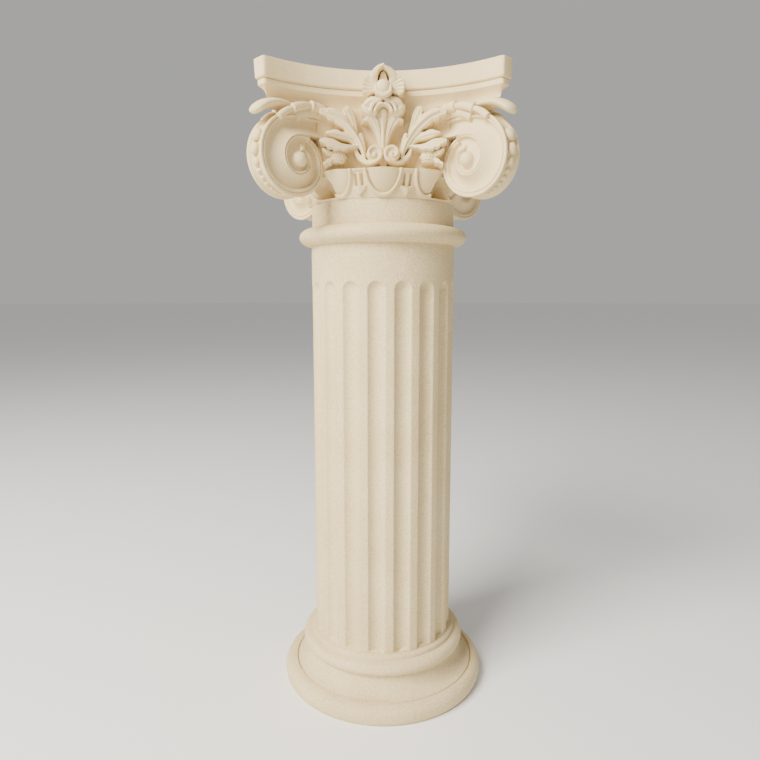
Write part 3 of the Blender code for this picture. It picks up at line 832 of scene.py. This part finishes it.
wallLook = {
    "halfWidth": 106.0,
    "low": 900.0,
    "high": 1004.5,
    "pitch": 0.70,
    "edge": 2.1,
    "back": 0.090,
    "backWidth": 0.85,
    # Arches over the palmette's tip: radius, out, half width.
    "archHeight": 982.0,
    "arches": ((19.0, 42, 3.4), (12.5, 43.5, 3.2)),
    # Curl: middle, then degrees round it, radius and half width, wound in from the big leaf's foot.
    "curlMiddle": (14.2, 925.3),
    "curlStem": ((44, 940, 13, 2.6), (40.5, 927, 15, 4.2), (32, 917.0, 19, 5.0), (22, 912.0, 24, 4.4)),
    "curl": ((-110, 12.0, 3.3), (-150, 11.6, 3.2), (-190, 11.2, 3.1), (-230, 10.8, 3.1), (-270, 10.2, 3.0),
             (-310, 9.2, 2.8), (-350, 8.0, 2.5), (-390, 6.6, 2.3), (-430, 5.2, 2.2), (-470, 3.6, 2.4), (-510, 1.6, 2.9)),
    "curlOut": 31.0,
    # Berries: the first one's place, their spacing, and the bunch's middle and half sizes.
    "berryStart": (58.5, 914.0),
    "berryPitch": (4.1, 3.7),
    "bunchMiddle": (68.5, 921.5),
    "bunchHalf": (10.5, 9.0),
    "berryOut": 21.5,
    "bunchFall": 6.0,
    "berryRadius": 2.45,
}

# Blades of the wall's carving: stations of (across, height, out, half width), and how each is carved.
wallBlades = {
    "palmetteBody": ([(0, 908, 18, 6), (0, 925, 18, 6), (0, 945, 17, 8), (0, 962, 19, 12), (0, 976, 24, 17.5)],
                     {"crown": 0.2, "edge": 2.6}),
    "palmetteOuter": ([(5, 938, 17, 2.2), (10, 957, 20, 3.2), (16, 969, 25, 4.4), (23, 975.5, 28, 4.4),
                       (29, 974, 28, 2.8)], {"flutes": 1, "fluteDepth": 1.0}),
    "palmetteInner": ([(3.4, 938, 18, 2.2), (6.6, 957, 22, 3.2), (11, 971, 27, 4.6), (16, 978, 29.5, 4.6)],
                      {"flutes": 1, "fluteDepth": 1.2}),
    "palmetteMiddle": ([(0, 936, 20, 2.6), (0, 960, 25, 3.6), (0, 978, 32, 5.4), (0, 986, 34, 5.0)],
                       {"flutes": 2, "fluteDepth": 1.6}),
    "hoodGround": ([(0, 988, 25, 15), (1, 988, 25, 15)], {"crown": 0.1}),
    "hoodLower": ([(14, 983, 33, 4.2), (21, 985.5, 37, 7.2), (27, 989.5, 37, 6.0), (31, 993, 35, 3.2)],
                  {"crown": 0.9, "flutes": 2, "fluteDepth": 1.4}),
    "hoodUpper": ([(7, 999, 42, 5), (16, 999, 42, 7.2), (24, 996, 40, 6.0), (30, 991, 36, 3.0)],
                  {"crown": 0.9, "flutes": 2, "fluteDepth": 1.4}),
    "curlGround": ([(14.2, 925.3, 27, 12), (14.3, 925.3, 27, 12)], {"crown": 0.05}),
    "leafInner": ([(29, 920, 17, 3), (30.5, 936, 19, 3.6), (33, 948, 20, 4), (34.5, 954, 21, 3.8)], {"flutes": 1}),
    "leafUpper": ([(38, 938, 17, 3), (42, 956, 18, 4), (46, 970, 19, 5.5), (51.5, 983, 22, 7.5),
                   (54.5, 989.5, 24, 6.5)], {"flutes": 2, "fluteDepth": 1.3, "hollow": 0.6}),
    "leafBlade": ([(28, 916, 17, 2.5), (34, 936, 20, 4.4), (44, 951.5, 22, 6.2), (56, 966, 24, 8.6),
                   (69, 977.5, 24, 11.0), (82, 982.5, 23, 10.5), (91, 984, 22, 6.5)],
                  {"flutes": 4, "fluteDepth": 1.5, "crown": 0.45, "lobes": 5, "lobeDepth": 0.16}),
    "leafRib": ([(28, 922, 20, 1.4), (35, 942, 23, 1.7), (45, 957.5, 25.5, 1.8), (57, 970.5, 27, 1.7),
                 (70, 980, 27, 1.5), (84, 985, 25.5, 1.1)], {"crown": 1.2, "edge": 1.4}),
    "podUpper": ([(42, 938, 17, 2.4), (52, 948, 20, 5.2), (65, 952.5, 23, 7.4), (77, 954, 24, 6.6),
                  (85, 953.5, 23, 3.5)],
                 {"crown": 0.75, "flutes": 2, "fluteDepth": 1.6, "lobes": 3, "lobeDepth": 0.22, "lobeSide": 1}),
    "podLower": ([(38, 938, 20, 1.8), (50, 936, 24, 3.4), (64, 934, 28, 6.4), (78, 937, 30, 8.6), (88, 940, 30, 6.4),
                  (93, 941, 29, 4.0)],
                 {"crown": 0.7, "flutes": 1, "fluteDepth": 1.8, "lobes": 6, "lobeDepth": 0.26, "lobeSide": -1}),
    "sprigUpper": ([(72, 927, 14, 3.2), (82, 925, 18, 4.6), (91, 930, 20, 3.0)], {"crown": 0.6, "flutes": 1}),
    "sprigLower": ([(72, 924, 12, 3.2), (80, 916, 17, 5.0), (90, 909.5, 18, 3.2)],
                   {"crown": 0.6, "flutes": 1, "lobes": 3, "lobeDepth": 0.25}),
}


def sinkWall(x, z):  # how far the wall lies behind the lips of the scrolls, mm
    def between(low, high, value):
        return eased((value - low) / (high - low))
    sink = 3.0 * (1 - between(980, 996, z)) + 2.5 * between(70, 100, x) + 7.0 * between(101.5, 105, x)
    return sink + 5.0 * between(34, 70, x) * (1 - between(936, 962, z))


def raiseBlade(field, stations, crown=0.35, flutes=0, fluteDepth=0.8, lobes=0, lobeDepth=0.0,
               edge=wallLook["edge"], lobeSide=0, hollow=0.0):
    # A carved leaf, band or pod along stations of (across, height, out, half width).
    x, z, ground = field["x"], field["z"], field["ground"]
    path = smoothPath(stations, 7)
    near = numpy.full(x.shape, 1e9)
    out = numpy.zeros(x.shape)
    half = numpy.ones(x.shape)
    along = numpy.zeros(x.shape)
    side = numpy.ones(x.shape)
    for i, (a, b) in enumerate(zip(path, path[1:])):
        run = b[:2] - a[:2]
        length = max(1e-6, float(run @ run))
        t = numpy.clip(((x - a[0]) * run[0] + (z - a[1]) * run[1]) / length, 0, 1)
        away = numpy.hypot(x - a[0] - run[0] * t, z - a[1] - run[1] * t)
        closer = away < near
        across = (z - a[1]) * run[0] - (x - a[0]) * run[1]
        near = numpy.where(closer, away, near)
        out = numpy.where(closer, a[2] + (b[2] - a[2]) * t, out)
        half = numpy.where(closer, a[3] + (b[3] - a[3]) * t, half)
        along = numpy.where(closer, (i + t) / (len(path) - 1), along)
        side = numpy.where(closer, numpy.sign(across), side)
    if lobes:
        cut = lobeDepth * ripple(lobes * along) ** 3
        if lobeSide:
            cut = numpy.where(side == lobeSide, cut, 0.0)
        half = half * (1 - cut)
    share = numpy.clip(near / half, 0, 1)
    shape = out + half * crown * (numpy.sqrt(1 - share ** 2) - 1) - hollow * (1 - share ** 2)
    if flutes:
        shape = shape - fluteDepth * ripple(flutes * (1 + share * side) / 2) * (1 - share ** 6)
    mask = eased((half - near) / edge + 0.5)
    numpy.maximum(field["height"], ground + (shape - ground) * mask, out=field["height"])


def raiseBall(field, x, z, out, radius, squash):
    away = numpy.hypot(field["x"] - x, field["z"] - z) / radius
    dome = out + radius * squash * (numpy.sqrt(numpy.clip(1 - away ** 2, 0, 1)) - 1)
    ground = field["ground"]
    raised = numpy.where(away < 1, numpy.maximum(dome, ground), ground)
    numpy.maximum(field["height"], raised, out=field["height"])


def roundPoint(middle, degrees, radius):
    angle = math.radians(degrees)
    return middle[0] + radius * math.cos(angle), middle[1] + radius * math.sin(angle)


def carveWall(field):
    look = wallLook
    for stations, carving in wallBlades.values():
        raiseBlade(field, stations, **carving)
    for radius, out, half in look["arches"]:
        arch = [(*roundPoint((0, look["archHeight"]), degrees, radius), out, half) for degrees in range(8, 92, 12)]
        raiseBlade(field, arch, crown=0.9)
    curl = [(*roundPoint(look["curlMiddle"], degrees, radius), look["curlOut"], half)
            for degrees, radius, half in look["curl"]]
    raiseBlade(field, [*look["curlStem"], *curl], crown=0.9, edge=1.5)
    pitchX, pitchZ = look["berryPitch"]
    for row in range(5):
        for column in range(6):
            x = look["berryStart"][0] + (column + (row % 2) / 2) * pitchX
            z = look["berryStart"][1] + row * pitchZ
            middle = math.hypot((x - look["bunchMiddle"][0]) / look["bunchHalf"][0],
                                (z - look["bunchMiddle"][1]) / look["bunchHalf"][1])
            if middle < 1.05:
                out = look["berryOut"] - look["bunchFall"] * middle ** 2
                raiseBall(field, x, z, out, look["berryRadius"], 2.0)


def makeWallSide(bm, turn):
    look = wallLook
    tall = look["high"] - look["low"]
    columns = int(round(2 * look["halfWidth"] / look["pitch"]))
    rows = int(round(tall / look["pitch"]))
    made = bmesh.ops.create_grid(bm, x_segments=columns, y_segments=rows, size=1.0)["verts"]
    x = numpy.array([vert.co.x for vert in made]) * look["halfWidth"]
    z = look["low"] + (numpy.array([vert.co.y for vert in made]) + 1) / 2 * tall
    ground = -sinkWall(abs(x), z)
    field = {"x": abs(x), "z": z, "ground": ground, "height": ground.copy()}
    carveWall(field)
    spun = quarterTurn(turn)
    for vert, across, height, out in zip(made, x, z, field["height"]):
        vert.co = spun @ onWall(across, out, height)
    for _ in range(2):
        bmesh.ops.smooth_vert(bm, verts=made, factor=0.5, use_axis_x=True, use_axis_y=True, use_axis_z=True)

    def behind(point):
        local = spun.inverted() @ point
        return spun @ Vector((local.x * look["backWidth"], -look["back"], local.z))

    closeBehind(bm, made, behind)


def makeWallLeaves():
    for name, turns in (("wallLeavesFrontBack", (0, 2)), ("wallLeavesSides", (1, 3))):
        bm = bmesh.new()
        for turn in turns:
            makeWallSide(bm, turn)
        finishPiece(name, bm, capitalPlaster, capitalGroup, ["capital"], 75)


makeWallLeaves()


# Capital: the leaf stalks over the scrolls and the tongues under the slab's corners

cornerLook = {
    # Stalk: across the face in mm, out, height. Each husk swells and the next one leaves its mouth.
    "stalk": ((88, 5, 988), (98, 7, 991.5), (110, 8, 992), (122, 8, 989), (134, 6, 983), (144, 4, 976), (152, 2, 967)),
    "stalkRadius": 0.0056,
    "stalkWidth": 1.15,
    "stalkSides": 14,
    "husks": 3,
    "huskMouth": (0.74, 0.66),
    "huskCurve": 0.8,
    "taper": (1.08, 0.45),
    # The plaster that joins the stalk to the wall and the scroll.
    "bed": ((86, -7, 984), (98, -5, 985), (110, -4, 985.5), (122, -5, 982.5), (134, -8, 975)),
    "bedRadius": 0.0085,
    # Tongue: distance along the diagonal in mm, height, half width, half thickness.
    "tongue": ((196, 989, 15, 6.0), (214, 990.5, 18, 6.6), (232, 990, 19.5, 6.8), (246, 986.5, 18.5, 7.2),
               (256, 981, 17, 7.0), (262.5, 975.5, 13.5, 6.0), (265.5, 971.5, 6.0, 3.4)),
    "tongueSides": 24,
}


def besideDiagonal(place, mirrored):  # from the front face to the diagonal along +X, on either side of it
    turned = Matrix.Rotation(math.pi / 4, 3, "Z") @ onWall(*place)
    return Vector((turned.x, turned.y * mirrored, turned.z))


def makeStalks(bm):
    look = cornerLook
    upward = Vector((0, 0, 1))
    bedRadius = look["bedRadius"]
    narrow, swelling = look["huskMouth"]
    thick, thinning = look["taper"]
    path = smoothPath(look["stalk"], 12)
    for mirrored in (1, -1):
        sweep(bm, [(besideDiagonal(place, mirrored), bedRadius, bedRadius, upward)
                   for place in smoothPath(look["bed"], 8)], look["stalkSides"])
        stations = []
        for i, place in enumerate(path):
            share = i / (len(path) - 1)
            husk = share * look["husks"] % 1.0
            swell = narrow + swelling * husk ** look["huskCurve"]
            radius = look["stalkRadius"] * swell * (thick - thinning * share)
            stations.append((besideDiagonal(place, mirrored), radius * look["stalkWidth"], radius, upward))
        sweep(bm, stations, look["stalkSides"])


def makeTongues(bm):
    stations = [(Vector((distance * mm, 0, z * mm)), half * mm, thick * mm, Vector((0, 1, 0)))
                for distance, z, half, thick in smoothPath(cornerLook["tongue"], 6)]
    sweep(bm, stations, cornerLook["tongueSides"])


def makeCornerLeaves():
    bm = bmesh.new()
    makeStalks(bm)
    makeTongues(bm)
    onFourCorners(bm)
    finishPiece("cornerLeaves", bm, capitalPlaster, capitalGroup, ["capital"], 60)


makeCornerLeaves()


# Capital: the flower on each side of the slab, raised from a grid that faces out. Places are in
# mm: across and up from the flower's middle, out from the column's axis.

flowerLook = {
    "height": 1016.0,
    "half": 33.7,
    "pitch": 0.72,
    "ground": 101.0,
    "depth": 0.012,
    # Side petals, fans in degrees round the middle.
    "fanTurns": (12, 168),
    "fanSpread": 36.0,
    "fanReach": 33.0,
    "fanShoulder": 0.20,
    "fanNotch": 1.1,
    "fanOut": 147.0,
    "fanCup": 5.5,
    "fanFlutes": 6,
    "fanFluteDepth": 1.5,
    "fanEdge": 2.0,
    "budOut": 162.0,
    "budRadius": 11.5,
    "budSquash": 0.9,
}

flowerBlades = {
    "upperLeft": ([(-13, 8, 148, 6), (-14, 18, 153, 6.5), (-8, 27, 157, 4), (0, 31, 159, 2.5)],
                  {"crown": 0.6, "edge": 2.0}),
    "upperRight": ([(13, 8, 148, 6), (15, 17, 152, 7), (10, 24, 155, 5), (2, 29, 158, 2.5)],
                   {"crown": 0.6, "edge": 2.0}),
    "upperHollow": ([(0, 4, 147, 6), (0, 14, 145, 7), (0, 21, 146, 5)], {"crown": 0.3, "edge": 2.0}),
    "crescent": ([(-11, 2, 158, 2.5), (-9.5, -7, 160, 3.4), (0, -12, 161, 4), (9.5, -7, 160, 3.4),
                  (11, 2, 158, 2.5)], {"crown": 0.8, "edge": 1.8}),
}


def raiseFan(field, turn):  # one side petal, with grooves that run to its notched edge
    look = flowerLook
    x, z, ground = field["x"], field["z"], field["ground"]
    spread = math.radians(look["fanSpread"])
    angle = (numpy.arctan2(z, x) - math.radians(turn) + math.pi) % (2 * math.pi) - math.pi
    away = numpy.hypot(x, z)
    share = numpy.clip(abs(angle) / spread, 0, 1)
    notch = look["fanNotch"] * abs(numpy.sin(angle / spread * look["fanFlutes"] / 2 * math.pi))
    reach = look["fanReach"] * (1 - look["fanShoulder"] * share ** 3) - notch
    groove = look["fanFluteDepth"] * ripple(angle / spread * look["fanFlutes"] / 2)
    shape = look["fanOut"] + look["fanCup"] * (away / look["fanReach"]) ** 2
    shape = shape - groove * numpy.clip(away / 20 - 0.3, 0, 1)
    mask = numpy.clip((reach - away) / look["fanEdge"] + 0.5, 0, 1)
    mask = eased(mask * numpy.clip((spread - abs(angle)) * away / look["fanEdge"] + 0.5, 0, 1))
    numpy.maximum(field["height"], ground + (shape - ground) * mask, out=field["height"])


def makeFlowers():
    look = flowerLook
    bm = bmesh.new()
    steps = int(round(2 * look["half"] / look["pitch"]))
    for side in range(4):
        made = bmesh.ops.create_grid(bm, x_segments=steps, y_segments=steps, size=look["half"])["verts"]
        x = numpy.array([vert.co.x for vert in made])
        z = numpy.array([vert.co.y for vert in made])
        ground = numpy.full(x.shape, look["ground"])
        field = {"x": x, "z": z, "ground": ground, "height": ground.copy()}
        for turn in look["fanTurns"]:
            raiseFan(field, turn)
        for stations, carving in flowerBlades.values():
            raiseBlade(field, stations, **carving)
        raiseBall(field, 0, 0.5, look["budOut"], look["budRadius"], look["budSquash"])
        spun = quarterTurn(side)
        for vert, across, height, out in zip(made, x, z, field["height"]):
            vert.co = spun @ Vector((across * mm, -out * mm, (look["height"] + height) * mm))
        inward = spun @ Vector((0, look["depth"], 0))
        closeBehind(bm, made, lambda point: point + inward)
    finishPiece("slabFlowers", bm, capitalPlaster, capitalGroup, ["capital"], 75)


makeFlowers()


# Stage, light and camera

stageLook = {
    "floorRadius": 60.0,
    "floorSides": 96,
    "floorColour": (0.93, 0.925, 0.915, 1.0),
    "floorRoughness": 0.9,
    "sky": (1.0, 0.985, 0.965, 1.0),
    "skyStrength": 0.45,
    "keyPlace": (-2.0, -2.1, 2.7),
    "keyTarget": (0, 0, 0.75),
    "keyWidth": 2.1,
    "keyPower": 385,
    "keyColour": (1.0, 0.95, 0.86),
    "cameraPlace": (-0.005, -1.1376, 0.7095),
    "cameraTilt": 82.343,
    "lens": 29.80,
    "sensor": 36.0,
}


def makeFloor():
    look = stageLook
    bm = bmesh.new()
    bmesh.ops.create_circle(bm, cap_ends=True, segments=look["floorSides"], radius=look["floorRadius"])
    mesh = bpy.data.meshes.new("floor")
    bm.to_mesh(mesh)
    bm.free()
    floor = bpy.data.objects.new("floor", mesh)
    addModule("stage").objects.link(floor)
    paint = bpy.data.materials.new("floorPaint")
    paint.use_nodes = True
    shader = paint.node_tree.nodes["Principled BSDF"]
    shader.inputs["Base Color"].default_value = look["floorColour"]
    shader.inputs["Roughness"].default_value = look["floorRoughness"]
    mesh.materials.append(paint)


def makeSky():
    look = stageLook
    world = bpy.data.worlds.new("studio")
    world.use_nodes = True
    world.node_tree.nodes["Background"].inputs["Color"].default_value = look["sky"]
    world.node_tree.nodes["Background"].inputs["Strength"].default_value = look["skyStrength"]
    bpy.context.scene.world = world


def addKeyLight():
    look = stageLook
    lamp = bpy.data.lights.new("keyLight", "AREA")
    lamp.shape = "SQUARE"
    lamp.size = look["keyWidth"]
    lamp.energy = look["keyPower"]
    lamp.color = look["keyColour"]
    holder = bpy.data.objects.new("keyLight", lamp)
    holder.location = look["keyPlace"]
    way = Vector(look["keyTarget"]) - Vector(look["keyPlace"])
    holder.rotation_euler = way.to_track_quat("-Z", "Y").to_euler()
    bpy.context.scene.collection.objects.link(holder)


def addCamera():
    look = stageLook
    lens = bpy.data.cameras.new("camera")
    lens.lens = look["lens"]
    lens.sensor_width = look["sensor"]
    camera = bpy.data.objects.new("camera", lens)
    camera.location = look["cameraPlace"]
    camera.rotation_euler = (math.radians(look["cameraTilt"]), 0.0, 0.0)
    bpy.context.scene.collection.objects.link(camera)
    bpy.context.scene.camera = camera


makeFloor()
makeSky()
addKeyLight()
addCamera()
print("stage, light and camera ready")
